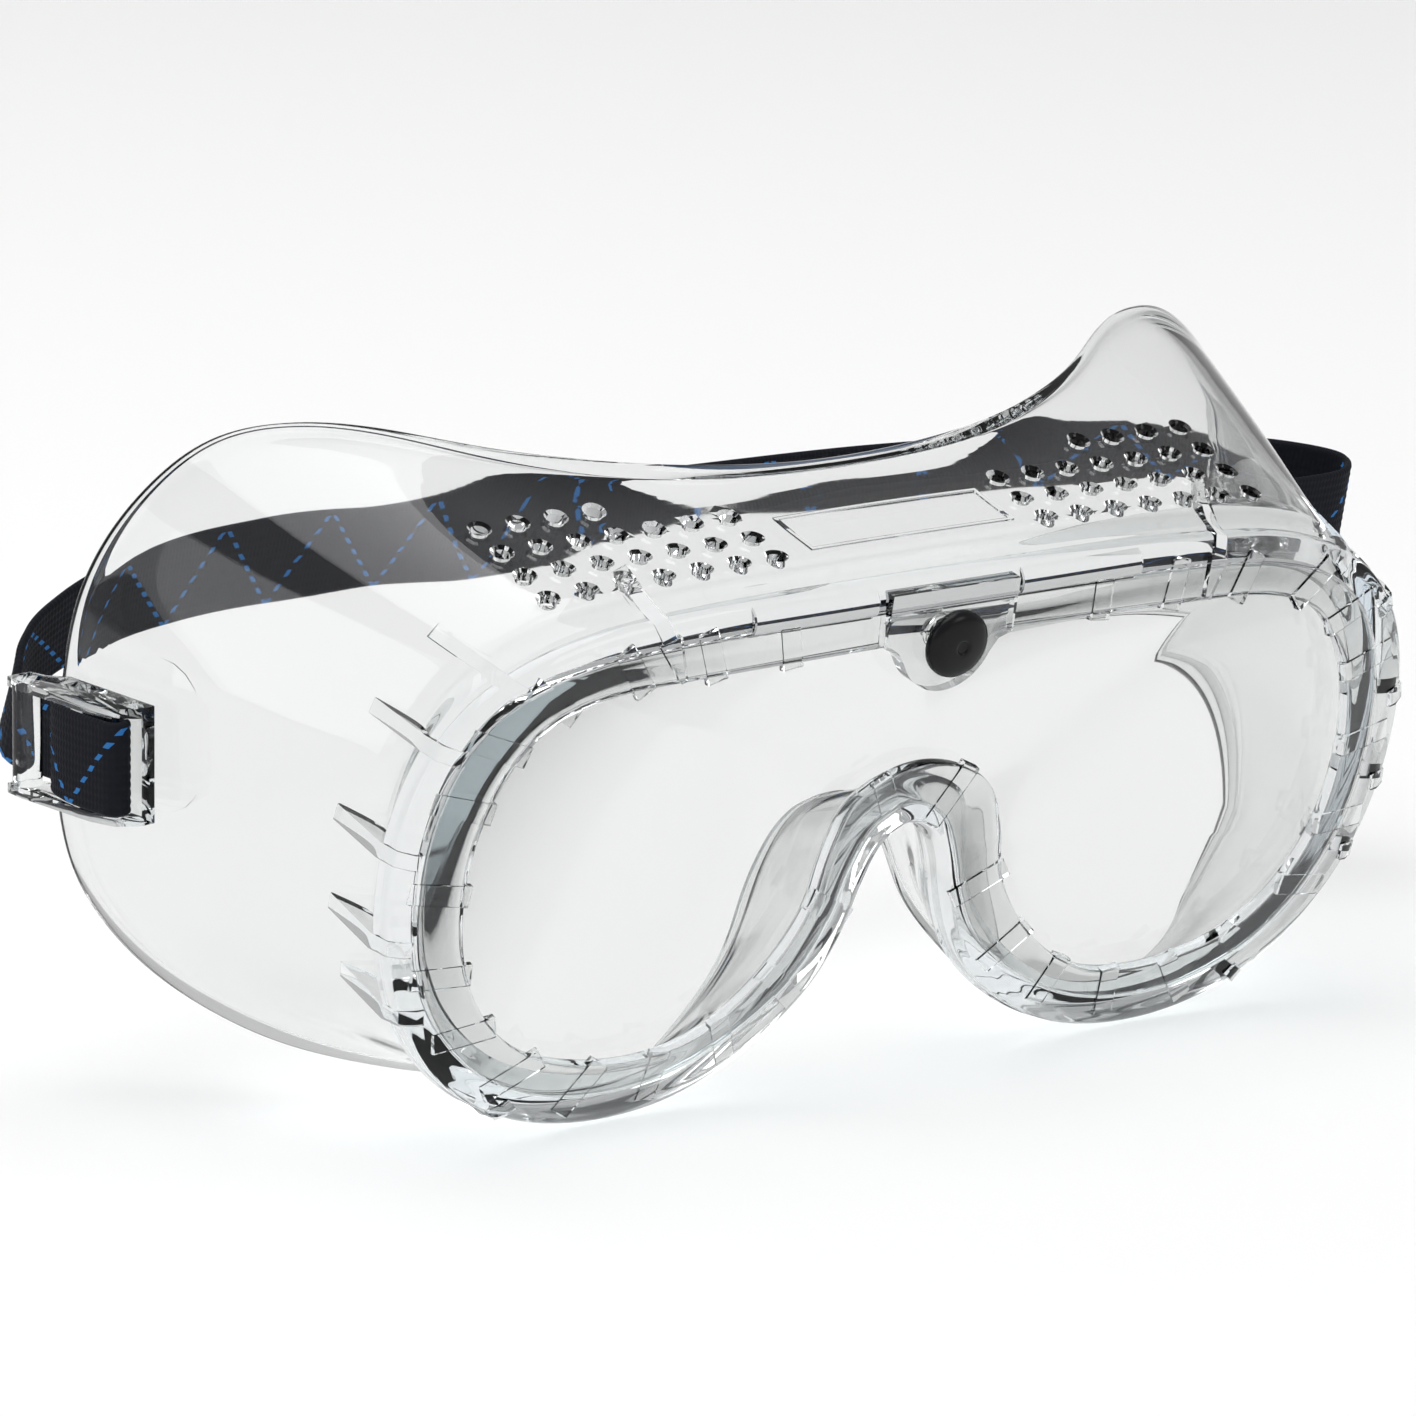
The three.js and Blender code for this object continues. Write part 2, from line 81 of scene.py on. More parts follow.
sweep_steps = 10
sweep_radius = 0.5
floor_mesh = bpy.data.meshes.new("studio_floor")
profile = [(-3.0, 0.0), (1.2, 0.0)]
for i in range(1, sweep_steps + 1):
    turn = 0.5 * math.pi * i / sweep_steps
    profile.append((1.2 + sweep_radius * math.sin(turn), sweep_radius * (1 - math.cos(turn))))
profile.append((1.2 + sweep_radius, 3.0))
corners = [(x, y, z) for y, z in profile for x in (-4.0, 4.0)]
strips = [(2 * i, 2 * i + 1, 2 * i + 3, 2 * i + 2) for i in range(len(profile) - 1)]
floor_mesh.from_pydata(corners, [], strips)
floor_mesh.shade_smooth()
studio_floor = bpy.data.objects.new("studio_floor", floor_mesh)
bpy.context.scene.collection.objects.link(studio_floor)
paper, nodes, links, surface = shader_nodes("white_paper")
surface.inputs["Base Color"].default_value = (0.93, 0.93, 0.93, 1.0)
surface.inputs["Roughness"].default_value = 0.9
surface.inputs["Specular IOR Level"].default_value = 0.1
floor_mesh.materials.append(paper)

middle = (-0.01, 0.0, 0.04)
lit_panel("panel_above", (-0.2, 0.1, 1.6), middle, 1.6, 1.2, 16)
lit_panel("panel_left", (-1.5, 0.1, 0.6), middle, 0.5, 1.2, 4)
lit_panel("panel_front", (0.7, -1.7, 0.9), middle, 0.7, 0.7, 4)
world = bpy.data.worlds.new("studio_air")
world.use_nodes = True
world.node_tree.nodes["Background"].inputs["Color"].default_value = (1.0, 1.0, 1.0, 1.0)
world.node_tree.nodes["Background"].inputs["Strength"].default_value = 0.5
bpy.context.scene.world = world


# Frame: the skirt and face rim, one soft clear PVC injection moulding with the vents, fins, lip
# ribs, rolled bars, button lug and side pads all part of it.
rest_place = Matrix.Translation((-0.0153265, -0.0425971, 0.0760637))
to_rest = rest_place @ Matrix.Rotation(math.radians(13.5), 4, "X") @ Matrix.Scale(0.001, 4)

rim_outer = [
    (0, -3.8), (21, -3.9), (42, -4.4), (59, -6.2), (70.5, -10.8), (77.4, -18), (80.8, -27),
    (81.6, -37), (80, -48), (76, -57.3), (68.5, -66), (57.5, -72), (45, -74), (32.5, -72.3),
    (22, -67.2), (13.6, -60.2), (9.2, -52.6), (7.2, -46), (4.6, -40.4), (0, -37.8),
]
lens_window = [
    (0, -10.4), (20.5, -10.6), (40, -10.9), (54.5, -11.6), (63.3, -14.6), (68.9, -20.6),
    (72.3, -29), (73.2, -38), (71.6, -48), (67.4, -56), (60.4, -62.4), (51.5, -65.6),
    (42.5, -66.6), (33.4, -65.3), (26, -61), (20, -54.8), (16.3, -48.3), (14.8, -41),
    (11.2, -33), (0, -28.9),
]
skirt_start = [
    (0, 0.1), (22.5, 0), (44, -0.6), (59.5, -1.8), (70.4, -6.6), (76.4, -15.2), (79.2, -25.7),
    (79.8, -37), (78.3, -48.2), (74.3, -57.3), (67.3, -65.5), (57.1, -71.3), (44.8, -73.3),
    (32.2, -71.6), (22, -67), (13.8, -60.3), (9.6, -53), (8.2, -45.9), (5.6, -40.2), (0, -36.9),
]
skirt_middle = [
    (0, 16, 1.7), (23, 16.4, 1.6), (46, 18.5, 1.4), (64.5, 22.5, 1.4), (77, 26.5, -2.5),
    (85.5, 27.5, -11.5), (90, 28, -22), (91, 28, -35), (89.2, 28, -48), (85, 27, -59.5),
    (77.5, 23.5, -68.3), (66.5, 16, -73.4), (54, 10, -75.4), (40.5, 6, -74.8), (28, 4, -70.8),
    (18, 4.5, -62.5), (12.6, 6, -54), (10, 7, -47.3), (6.4, 7.5, -42), (0, 7.5, -39.2),
]
face_edge = [
    (0, 19.5, 3.7), (25, 21, 5.3), (47, 31.5, 5.8), (66, 46, 6.2), (80, 52, 3),
    (91, 53.5, -6.5), (96.8, 53.8, -18), (97.6, 54, -33), (96, 54.7, -48), (92.6, 52, -61),
    (86.5, 43, -70.3), (76, 29.5, -76), (62.5, 19.8, -78.3), (48, 12.5, -79.2),
    (36, 9.5, -80.3), (24, 9, -70.5), (16.5, 11, -62), (12.5, 13, -53), (7.6, 14, -45.5),
    (0, 14, -42),
]
half_steps = len(rim_outer) - 1


def whole_ring(half):
    right = [Vector((p[0], 0, p[1])) if len(p) == 2 else Vector(p) for p in half]
    left = [Vector((-p.x, p.y, p.z)) for p in reversed(right[1:-1])]
    return right + left


def on_ring(ring, place):
    """A point on the smooth closed curve through a ring, counted in ring points."""
    i = int(math.floor(place))
    w = place - i
    p0, p1, p2, p3 = [ring[(i + k) % len(ring)] for k in (-1, 0, 1, 2)]
    d0, d1, d2 = [math.sqrt((b - a).length) for a, b in ((p0, p1), (p1, p2), (p2, p3))]
    leave = ((p1 - p0) / d0 - (p2 - p0) / (d0 + d1) + (p2 - p1) / d1) * d1
    arrive = ((p2 - p1) / d1 - (p3 - p1) / (d1 + d2) + (p3 - p2) / d2) * d1
    bend = (p2 - p1) * 3 - leave * 2 - arrive
    return p1 + leave * w + bend * w ** 2 + ((p1 - p2) * 2 + leave + arrive) * w ** 3


outer_ring = whole_ring(rim_outer)
window_ring = whole_ring(lens_window)
start_ring = whole_ring(skirt_start)
middle_ring = whole_ring(skirt_middle)
edge_ring = whole_ring(face_edge)


class Rim:
    """The rim at one place: the lip's outer edge, the way out of the window, the lip's width, and
    how much of the flange is left, which narrows over the nose."""

    def __init__(self, place):
        self.outer = on_ring(outer_ring, place)
        self.out = self.outer - on_ring(window_ring, place)
        self.width = self.out.length
        self.out.normalize()
        t = min(1.0, max(0.0, (min(place, 2 * half_steps - place) - 13) / 4))
        self.flange = 1 - 0.6 * t * t * (3 - 2 * t)

    def point(self, inset, y):
        p = self.outer - self.out * inset
        p.y = y
        return p


def softened(corners):
    """A closed outline with each corner that has a radius cut into two points."""
    outline = []
    for i, (p, radius) in enumerate(corners):
        if radius == 0:
            outline.append(p)
            continue
        before = corners[i - 1][0]
        after = corners[(i + 1) % len(corners)][0]
        outline.append(p + (before - p).normalized() * radius)
        outline.append(p + (after - p).normalized() * radius)
    return outline


lens_front = -7.3
lens_thick = 1.8
groove_gap = 0.4
lens_inset = 2.6
lip_front = -10.2
lip_edge = -8.9
flange_out = 3.0
flange_back = -5.1
chamfer_out = 2.3
wall = 2.0
bead = 1.35


def frame_section(place):
    rim = Rim(place)
    start = on_ring(start_ring, place)
    centre = on_ring(middle_ring, place)
    edge = on_ring(edge_ring, place)

    def skirt(t, inset=0.0):
        p = start * (2 * (t - 0.5) * (t - 1)) - centre * (4 * t * (t - 1))
        p += edge * (2 * t * (t - 0.5))
        return p - rim.out * inset

    start.y = -0.4
    flange = rim.point(-flange_out * rim.flange, flange_back)
    shoulder = flange.lerp(start, 0.4)
    shoulder.y = -3.3
    back = (edge - skirt(0.9)).normalized()
    bead_middle = edge - rim.out * 1.0 - back * 1.2
    groove_front = lens_front - groove_gap
    groove_back = lens_front + lens_thick + groove_gap
    inner_start = start - rim.out * wall
    corners = [
        (rim.point(rim.width, lip_front), 0.35),
        (rim.point(0, lip_edge), 0.25),
        (rim.point(-chamfer_out * rim.flange, -7.9), 0.3),
        (rim.point(-2.55 * rim.flange, -6.5), 0.2),
        (rim.point(-2.4 * rim.flange, -6.0), 0),
        (rim.point(-2.85 * rim.flange, -5.6), 0.2),
        (flange, 0.3),
        (shoulder, 0.5),
        (start + rim.out * 0.25, 0),
        (skirt(0.14), 0),
        (skirt(0.34), 0),
        (skirt(0.56), 0),
        (skirt(0.78), 0),
        (skirt(0.93), 0),
        (bead_middle + rim.out * bead, 0),
        (bead_middle + rim.out * bead * 0.75 + back * bead * 0.8, 0),
        (bead_middle - rim.out * bead * 0.75 + back * bead * 0.8, 0),
        (bead_middle - rim.out * bead, 0),
        (skirt(0.93, wall), 0),
        (skirt(0.78, wall), 0),
        (skirt(0.56, wall), 0),
        (skirt(0.34, wall), 0),
        (skirt(0.14, wall), 0),
        (inner_start, 0.5),
        (rim.point(rim.width - 2.5, -3.2), 0.4),
        (rim.point(rim.width - 2.5, groove_back), 0.25),
        (rim.point(lens_inset - groove_gap, groove_back), 0.2),
        (rim.point(lens_inset - groove_gap, groove_front), 0.2),
        (rim.point(rim.width, groove_front), 0.25),
    ]
    return softened(corners)


def new_object(name, mesh):
    made = bpy.data.objects.new(name, mesh)
    bpy.context.scene.collection.objects.link(made)
    return made


def mesh_of(name, points, faces):
    mesh = bpy.data.meshes.new(name)
    mesh.from_pydata([tuple(p) for p in points], [], faces)
    bm = bmesh.new()
    bm.from_mesh(mesh)
    bmesh.ops.recalc_face_normals(bm, faces=bm.faces)
    bm.to_mesh(mesh)
    bm.free()
    return mesh


def apply_stack(made):
    """The object's modifiers turned into plain mesh."""
    graph = bpy.context.evaluated_depsgraph_get()
    finished = bpy.data.meshes.new_from_object(made.evaluated_get(graph))
    made.modifiers.clear()
    made.data = finished


def smoothed(made, levels):
    soft = made.modifiers.new("round_off", "SUBSURF")
    soft.levels = levels
    soft.render_levels = levels


def join_or_cut(made, tool, way):
    cut = made.modifiers.new("fuse", "BOOLEAN")
    cut.operation = way
    cut.solver = "MANIFOLD"
    cut.object = tool
    apply_stack(made)
    bpy.data.objects.remove(tool)


def bound_together(name, shapes):
    """One helper object from several closed shapes, each a list of points and a list of faces."""
    points = []
    faces = []
    for shape_points, shape_faces in shapes:
        base = len(points)
        points += shape_points
        faces += [tuple(base + k for k in face) for face in shape_faces]
    return new_object(name, mesh_of(name, points, faces))


def prism(outline, place, across, width):
    """A plate with straight sides: an outline of points, thickened across itself."""
    count = len(outline)
    half = across.normalized() * (width / 2)
    points = [p + place - half for p in outline] + [p + place + half for p in outline]
    faces = [tuple(range(count - 1, -1, -1)), tuple(range(count, 2 * count))]
    faces += [(i, (i + 1) % count, count + (i + 1) % count, count + i) for i in range(count)]
    return points, faces


def turned(profile, origin, axis, steps=20):
    """A closed solid turned about an axis from a list of radius and height."""
    side = axis.orthogonal().normalized()
    other = axis.cross(side)
    points = [origin + axis * profile[0][1]]
    faces = []
    for radius, height in profile[1:-1]:
        for i in range(steps):
            turn = 2 * math.pi * i / steps
            ring_way = side * math.cos(turn) + other * math.sin(turn)
            points.append(origin + axis * height + ring_way * radius)
    points.append(origin + axis * profile[-1][1])
    last = len(points) - 1
    rings = len(profile) - 2
    for i in range(steps):
        j = (i + 1) % steps
        faces.append((0, 1 + i, 1 + j))
        for r in range(rings - 1):
            a = 1 + r * steps
            faces.append((a + i, a + steps + i, a + steps + j, a + j))
        a = 1 + (rings - 1) * steps
        faces.append((a + j, a + i, last))
    return points, faces


stations = 3 * len(outer_ring)
sections = [frame_section(i / 3) for i in range(stations)]
around = len(sections[0])
cage_points = [p for section in sections for p in section]
cage_faces = []
for i in range(stations):
    j = (i + 1) % stations
    for k in range(around):
        m = (k + 1) % around
        cage_faces.append((i * around + k, j * around + k, j * around + m, i * around + m))
frame_skin = new_object("frame_skin", mesh_of("frame_skin", cage_points, cage_faces))
smoothed(frame_skin, 2)
apply_stack(frame_skin)

y_way = Vector((0, 1, 0))
z_way = Vector((0, 0, 1))


def both_sides(places):
    return [p for place in places for p in (place, 2 * half_steps - place)]


# Thin fins from the front of the flange to the skirt; the pair on the brow ends in a short peak.
fin_width = 2.2
brow_fin = 2.2
fin_shapes = []
for place in both_sides([brow_fin, 3.75, 4.9, 6.45, 7.65, 8.7, 10.7]):
    rim = Rim(place)
    rise = (on_ring(start_ring, place) - rim.outer).dot(rim.out)
    far = on_ring(middle_ring, place)
    slope = ((far - rim.outer).dot(rim.out) - rise) / far.y
    if min(place, 2 * half_steps - place) < 3:
        tail = [(rise + 2.7, 0.5), (rise + 2.5, 0.9), (rise - 1, -1.5)]
    else:
        tail = [(rise + slope * 7 + 0.9, 7.0), (rise + slope * 7.6 - 1, 7.6)]
    corner = [(chamfer_out * rim.flange + 0.2, -8.0), (flange_out * rim.flange + 0.3, flange_back)]
    side_view = [(-0.6, -9.4), (0.5, -9.3), *corner, *tail, (rise - 1, 0.6), (-2.2, -3)]
    outline = [rim.out * a + y_way * b for a, b in side_view]
    fin_shapes.append(prism(outline, rim.outer, rim.out.cross(y_way), fin_width))
join_or_cut(frame_skin, bound_together("fins", fin_shapes), "UNION")

# Low radial ribs cross the front of the lip, and a tapered foot stands below each brow fin.
rib_shapes = []
rib_places = [
    1.25, 1.87, 2.6, 3.6, 4.6, 5.6, 6.9, 8.1, 9.2, 10.3, 11.4, 12.5, 13.6, 14.7, 16.2, 18.4,
]
rib_width = 3.0
for place in both_sides(rib_places):
    rim = Rim(place)
    foot = rim.point(0, lip_edge)
    head = rim.point(rim.width + 0.5, lip_front)
    along = (head - foot).normalized()
    length = (head - foot).length
    across = along.cross(y_way).normalized()
    lift = along.cross(across) if along.cross(across).y < 0 else -along.cross(across)
    side_view = [
        (0, -0.9), (length, -0.9), (length, 0.1), (length - 0.2, 0.3), (0.3, 0.3), (0, 0),
    ]
    outline = [along * a + lift * b for a, b in side_view]
    rib_shapes.append(prism(outline, foot, across, rib_width))
for place in both_sides([brow_fin]):
    rim = Rim(place)
    across = rim.out.cross(y_way).normalized()
    outer_foot = rim.point(0.1, lip_edge)
    inner_foot = rim.point(rim.width - 0.8, -10.1)
    front = [outer_foot - across * 1.7, outer_foot + across * 1.7,
             inner_foot + across * 0.5, inner_foot - across * 0.5]
    wedge = [p - y_way * 0.8 for p in front] + [p + y_way * 0.8 for p in front]
    wedge_faces = [(3, 2, 1, 0), (4, 5, 6, 7)]
    wedge_faces += [(k, (k + 1) % 4, 4 + (k + 1) % 4, 4 + k) for k in range(4)]
    rib_shapes.append((wedge, wedge_faces))
join_or_cut(frame_skin, bound_together("lip_ribs", rib_shapes), "UNION")

# Rolled bars on the brow, and the lug between them that takes the button.
button_z = -10.2
lug_radius = 7.6
lug_middle = -9.05
lug_depth = 2.9
brow_shapes = []
for side in (-1, 1):
    end_to_end = [(0, -10.2), (2.1, -10.2), (2.3, -10), (2.3, 10), (2.1, 10.2), (0, 10.2)]
    brow_shapes.append(turned(end_to_end, Vector((side * 22, -7.4, -4.4)), Vector((1, 0, 0)), 24))
lug_outline = [Vector((x, 0, z)) for x, z in [(10.5, -2.6), (10.5, -10.4), (8.3, -11.2)]]
lug_steps = 22
for i in range(lug_steps + 1):
    turn = math.radians(-23 - 134 * i / lug_steps)
    lug_outline.append(
        Vector((lug_radius * math.cos(turn), 0, button_z + lug_radius * math.sin(turn))))
lug_outline += [Vector((x, 0, z)) for x, z in [(-8.3, -11.2), (-10.5, -10.4), (-10.5, -2.6)]]
brow_shapes.append(prism(lug_outline, y_way * lug_middle, y_way, lug_depth))
join_or_cut(frame_skin, bound_together("brow_parts", brow_shapes), "UNION")

# Side pads, thin and sloped like the wall, with the headed stud that each strap clip turns on.
pad_lean = math.radians(8)
clip_tilt = math.radians(10)
pad_slope = 0.117
pad_rise = 3


class Pad:
    """The directions of one clip: back along the strap, up, and out of its side pad's face."""

    def __init__(self, side):
        self.side = side
        self.out = Vector((side * math.cos(pad_lean), -math.sin(pad_lean), 0))
        hang = Matrix.Rotation(-side * clip_tilt, 3, self.out)
        self.back = hang @ Vector((side * math.sin(pad_lean), math.cos(pad_lean), 0))
        self.up = hang @ z_way
        self.hinge = Vector((side * 96.2, 44, -36.3))

    def point(self, a, up, o):
        return self.hinge + self.back * a + self.up * up + self.out * o


def rounded_rectangle(x0, x1, half, corner, steps=5):
    outline = []
    for cx, cz, begin in ((x1 - corner, half - corner, 0), (x0 + corner, half - corner, 90),
                          (x0 + corner, corner - half, 180), (x1 - corner, corner - half, 270)):
        for i in range(steps + 1):
            turn = math.radians(begin + 90 * i / steps)
            outline.append((cx + corner * math.cos(turn), cz + corner * math.sin(turn)))
    return outline


pads = {1: Pad(1), -1: Pad(-1)}
pad_shapes = []
for pad in pads.values():
    face_outline = rounded_rectangle(-14, 5, 8, 5.5)
    foot_outline = rounded_rectangle(-16.6, 7.6, 10.6, 7.5)
    top, foot, root = [
        [pad.point(a, b + pad_rise, pad_slope * a - sink) for a, b in outline]
        for outline, sink in ((face_outline, 0.3), (foot_outline, 1.3), (foot_outline, 2.6))
    ]
    count = len(top)
    sides = [(r * count + k, r * count + (k + 1) % count, (r + 1) * count + (k + 1) % count,
              (r + 1) * count + k) for r in (0, 1) for k in range(count)]
    lids = [tuple(range(count)), tuple(range(3 * count - 1, 2 * count - 1, -1))]
    pad_shapes.append((top + foot + root, sides + lids))
    stud = [(0, -1), (2.2, -1), (2.2, 1.9), (3.3, 1.9), (3.3, 2.3), (3.0, 2.6), (0, 2.6)]
    pad_shapes.append(turned(stud, pad.hinge, pad.out, 28))
for shape in pad_shapes:
    join_or_cut(frame_skin, bound_together("pad_part", [shape]), "UNION")

# A plain raised rectangle on the middle of the brow, where a maker would put a mark.
brow_tree = BVHTree.FromObject(frame_skin, bpy.context.evaluated_depsgraph_get())
panel_corners = [(-16.5, 0.8), (16.5, 0.8), (16.5, 9.6), (-16.5, 9.6)]
panel_path = []
for i, (x0, y0) in enumerate(panel_corners):
    x1, y1 = panel_corners[(i + 1) % 4]
    for k in range(8):
        x = x0 + (x1 - x0) * k / 8
        y = y0 + (y1 - y0) * k / 8
        panel_path.append(brow_tree.ray_cast(Vector((x, y, 30)), -z_way)[0])
panel_points = []
for i, p in enumerate(panel_path):
    centre = sum(panel_path, Vector()) / len(panel_path)
    outward = Vector((math.copysign(0.3, p.x), math.copysign(0.3, p.y - centre.y), 0))
    for side, lift in ((1, -0.5), (1, 0.22), (-1, 0.22), (-1, -0.5)):
        panel_points.append(p + outward * side + z_way * lift)
count = len(panel_path)
panel_faces = [(4 * i + k, 4 * ((i + 1) % count) + k, 4 * ((i + 1) % count) + (k + 1) % 4,
                4 * i + (k + 1) % 4) for i in range(count) for k in range(4)]
panel = bound_together("brow_panel", [(panel_points, panel_faces)])
join_or_cut(frame_skin, panel, "UNION")

# Fifty round vents through the brow: three full rows on each side and a short one behind.
skin_tree = BVHTree.FromObject(frame_skin, bpy.context.evaluated_depsgraph_get())
vent_shapes = []
first_vent = 22.4
vent_pitch = 6.0
row_pitch = 5.67
row_bow = 0.00021
drill = [(0, -4.5), (1.25, -4.5), (1.25, -0.45), (1.75, 0.05), (1.75, 1.0), (0, 1.0)]
for row in range(4):
    for i in range(0 if row < 3 else 3, 7):
        for side in (-1, 1):
            x = side * (first_vent + vent_pitch * i)
            y = row_pitch * row + row_bow * x * x + 0.6
            top = skin_tree.ray_cast(Vector((x, y, 30)), -z_way)
            vent_shapes.append(turned(drill, top[0], top[1], 20))
join_or_cut(frame_skin, bound_together("vent_drills", vent_shapes), "DIFFERENCE")
socket = [(0, -2.4), (2.6, -2.4), (2.6, 2.4), (0, 2.4)]
socket_drill = [turned(socket, Vector((0, -9.2, button_z)), y_way, 32)]
join_or_cut(frame_skin, bound_together("socket_drill", socket_drill), "DIFFERENCE")

frame_skin.data.transform(to_rest)
frame_skin.data.shade_smooth()
frame_skin.data.set_sharp_from_angle(angle=math.radians(32))


def clear_plastic(name, tint, roughness, index, depth_colour, density, wave, wave_scale):
    """A clear plastic that bends light, deepens in colour with thickness and lets lamps through."""
    material, nodes, links, surface = shader_nodes(name)
    surface.inputs["Base Color"].default_value = (*tint, 1.0)
    surface.inputs["Roughness"].default_value = roughness
    surface.inputs["IOR"].default_value = index
    surface.inputs["Transmission Weight"].default_value = 1.0
    surface.inputs["Specular Tint"].default_value = (0.6, 0.6, 0.62, 1.0)
    place = nodes.new("ShaderNodeTexCoord")
    swirl = nodes.new("ShaderNodeTexNoise")
    swirl.inputs["Scale"].default_value = wave_scale
    swirl.inputs["Detail"].default_value = 1.0
    links.new(place.outputs["Object"], swirl.inputs["Vector"])
    bump = nodes.new("ShaderNodeBump")
    bump.inputs["Strength"].default_value = wave
    bump.inputs["Distance"].default_value = 0.001
    links.new(swirl.outputs["Fac"], bump.inputs["Height"])
    links.new(bump.outputs["Normal"], surface.inputs["Normal"])
    open_air = nodes.new("ShaderNodeBsdfTransparent")
    open_air.inputs["Color"].default_value = (0.94, 0.95, 0.95, 1.0)
    rays = nodes.new("ShaderNodeLightPath")
    mix = nodes.new("ShaderNodeMixShader")
    output = nodes["Material Output"]
    links.new(rays.outputs["Is Shadow Ray"], mix.inputs[0])
    links.new(surface.outputs[0], mix.inputs[1])
    links.new(open_air.outputs[0], mix.inputs[2])
    links.new(mix.outputs[0], output.inputs["Surface"])
    if density > 0:
        depth = nodes.new("ShaderNodeVolumeAbsorption")
        depth.inputs["Color"].default_value = (*depth_colour, 1.0)
        depth.inputs["Density"].default_value = density
        links.new(depth.outputs[0], output.inputs["Volume"])
    return material


# The PVC's tint is partly the plastic's own faint grey and partly painted shade: it is set darker
# to stand in for the dark studio reflections that grey the skirt.
soft_pvc = clear_plastic(
    "soft_clear_pvc", tint=(0.84, 0.845, 0.84), roughness=0.02, index=1.45,
    depth_colour=(0.72, 0.82, 0.9), density=14.0, wave=0.05, wave_scale=55.0)
frame_skin.data.materials.clear()
frame_skin.data.materials.append(soft_pvc)
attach(frame_skin, "mask")
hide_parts("frame_body")


# Hard parts: the lens sheet, the clips and the button's shank are clear polycarbonate. Each is the
# moulded shape with its sharp edges eased.
hard_clear = clear_plastic(
    "clear_polycarbonate", tint=(0.87, 0.875, 0.87), roughness=0.01, index=1.5,
    depth_colour=(0.6, 0.72, 0.78), density=14.0, wave=0.0, wave_scale=10.0)


def eased_copy(name, node, ease):
    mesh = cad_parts[node].data.copy()
    bm = bmesh.new()
    bm.from_mesh(mesh)
    bmesh.ops.remove_doubles(bm, verts=bm.verts, dist=0.00001)
    bmesh.ops.dissolve_limit(bm, angle_limit=math.radians(1), verts=bm.verts, edges=bm.edges)
    bm.to_mesh(mesh)
    bm.free()
    made = new_object(name, mesh)
    made.matrix_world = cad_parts[node].matrix_world.copy()
    bevel = made.modifiers.new("eased_edges", "BEVEL")
    bevel.width = ease
    bevel.segments = 2
    bevel.limit_method = "ANGLE"
    bevel.angle_limit = math.radians(40)
    apply_stack(made)
    made.data.transform(made.matrix_world)
    made.matrix_world = Matrix.Identity(4)
    made.data.shade_smooth()
    made.data.set_sharp_from_angle(angle=math.radians(32))
    return made


for name, node, body, slot, ease in (
        ("lens_sheet", "lens", "mask", "clear_lens", 0.0002),
        ("shank", "button_stud", "button", "clear_plastic", 0.0002),
        ("clip_left_moulding", "clip_left", "headband", "clear_plastic", 0.0003),
        ("clip_right_moulding", "clip_right", "headband", "clear_plastic", 0.0003)):
    made = eased_copy(name, node, ease)
    made.data.materials.clear()
    made.data.materials.append(hard_clear)
    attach(made, body)
    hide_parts(node)


# Button: a black satin cap, slightly domed, with a small dimple at its middle.
black_cap, nodes, links, surface = shader_nodes("black_cap")
surface.inputs["Base Color"].default_value = (0.004, 0.004, 0.005, 1.0)
surface.inputs["Roughness"].default_value = 0.25
surface.inputs["Specular IOR Level"].default_value = 0.2
cap_profile = [
    (0, 0), (4.3, 0), (4.6, 0.1), (4.8, 0.35), (4.85, 0.7), (4.83, 1.05), (4.7, 1.4),
    (4.4, 1.75), (3.9, 2.02), (3.2, 2.2), (2.4, 2.34), (1.6, 2.43), (1.15, 2.46),
    (0.95, 2.4), (0.8, 2.22), (0, 2.15),
]
cap_shape = turned(cap_profile, Vector((0, -11.2, button_z)), -y_way, 64)
cap = bound_together("button_cap", [cap_shape])
cap.data.transform(to_rest)
cap.data.shade_smooth()
cap.data.set_sharp_from_angle(angle=math.radians(35))
cap.data.materials.append(black_cap)
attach(cap, "button")
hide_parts("button_head")


# Strap: one flat elastic band, folded round a bar of each clip. Fine cords run along it,
# so its edges and folds are knurled, and a blue thread crosses it in a dotted zigzag.
strap_width = 13.0
strap_thick = 1.1
clip_part = [(-0.8, 3.75), (-8.8, 3.75)]
for i in range(1, 6):
    turn = math.pi * i / 6
    clip_part.append((-8.9 - 1.55 * math.sin(turn), 5.3 - 1.55 * math.cos(turn)))
clip_part += [(-8.8, 6.85), (-0.5, 6.7), (3.6, 5.35), (5.6, 3.2), (7.6, 2.1), (12.4, 1.9)]
free_part = [
    (-100.0, 60.8, -39.1, 0.4, 1.0), (-98.2, 64.2, -37.4, 1.2, 0.4), (-94.5, 67.5, -35.3, 1, -0.3),
    (-88, 70.6, -33.3, 0.5, -0.5), (-79, 73.6, -31.8, 0, -0.4), (-65, 77, -31.4), (-50, 80, -32.2),
    (-25, 83.5, -34), (0, 86, -35.6), (30, 87.8, -37), (60, 88, -38), (90, 86, -39.2),
    (115, 81, -40.3), (129, 76, -41), (135, 70, -41.2), (132, 65.2, -41), (121, 63.2, -40.5),
    (109.5, 63.4, -39.9), (102.9, 61.3, -39.5),
]
left_end = [(pads[-1].point(a, 0, o), pads[-1].up) for a, o in clip_part]
right_end = [(pads[1].point(a, 0, o), pads[1].up) for a, o in reversed(clip_part)]
free_run = []
for p in free_part:
    lean = p[3:] if len(p) == 5 else (0, 0)
    free_run.append((Vector(p[:3]), Vector((lean[0], lean[1], 6.5)).normalized()))
route = left_end + free_run + right_end


